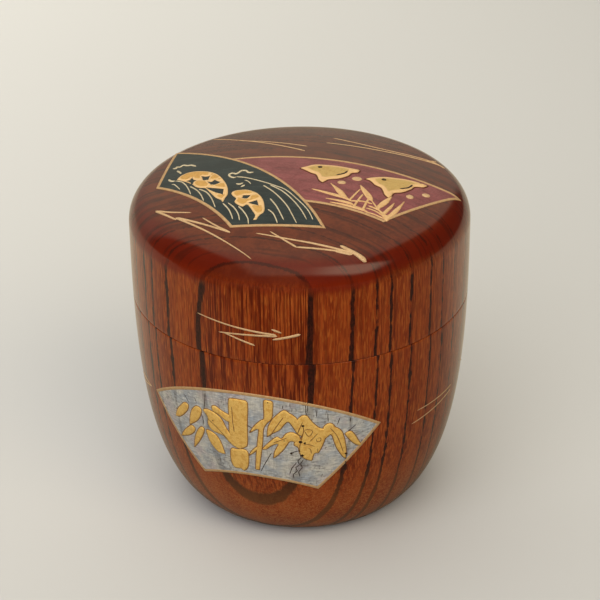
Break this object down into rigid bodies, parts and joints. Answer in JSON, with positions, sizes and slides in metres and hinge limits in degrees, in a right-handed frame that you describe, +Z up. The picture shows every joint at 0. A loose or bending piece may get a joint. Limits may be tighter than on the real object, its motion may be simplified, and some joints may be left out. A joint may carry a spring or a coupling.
{
  "type": "tea caddy",
  "caption": "Turned wooden tea caddy with a rounded body, a lift-off lid over a lip, and thin gold and coloured lacquer ornament.",
  "frame": {"origin": "centre of the foot ring, on the surface that the caddy stands on", "axes": "+Z up along the turning axis; -Y is the front, the side that the picture shows; +X to the viewer's right"},
  "size_m": [0.067, 0.0672, 0.07],
  "materials": {
    "wood": "clear red-brown lacquer over open grain, glossy",
    "gold": "gold powder in lacquer, satin",
    "silver": "dulled silver leaf, finely crackled",
    "indigo": "blue-black lacquer, satin",
    "red": "thin crimson lacquer, satin"
  },
  "bodies": {
    "body": {"body": "wood", "silver_fan": "silver", "silver_fan_border": "gold", "bamboo_culm": "gold", "bamboo_culm_foot": "gold", "bamboo_spray": "gold", "bamboo_leaf_1": "gold", "bamboo_leaf_2": "gold", "bamboo_leaf_3": "gold", "bamboo_leaf_4": "gold", "bamboo_leaf_5": "gold", "bamboo_leaf_6": "gold", "pine_sprig_right": "gold", "pine_sprig_left": "gold"},
    "lid": {"lid": "wood", "pine_sprig_lid_side": "gold", "pine_sprig_front_left": "gold", "pine_sprig_front_right": "gold", "pine_sprig_back_left": "gold", "pine_sprig_back_right": "gold", "indigo_fan": "indigo", "indigo_fan_border": "gold", "half_wheel_large": "gold", "half_wheel_small": "gold", "red_fan": "red", "red_fan_border": "gold", "plover_left": "gold", "plover_right": "gold", "reeds": "gold"}
  },
  "joints": [
    {"name": "lid_lift", "type": "slide", "parent": "body", "child": "lid", "axis": [0, 0, 1], "range_m": [0, 0.05]}
  ]
}
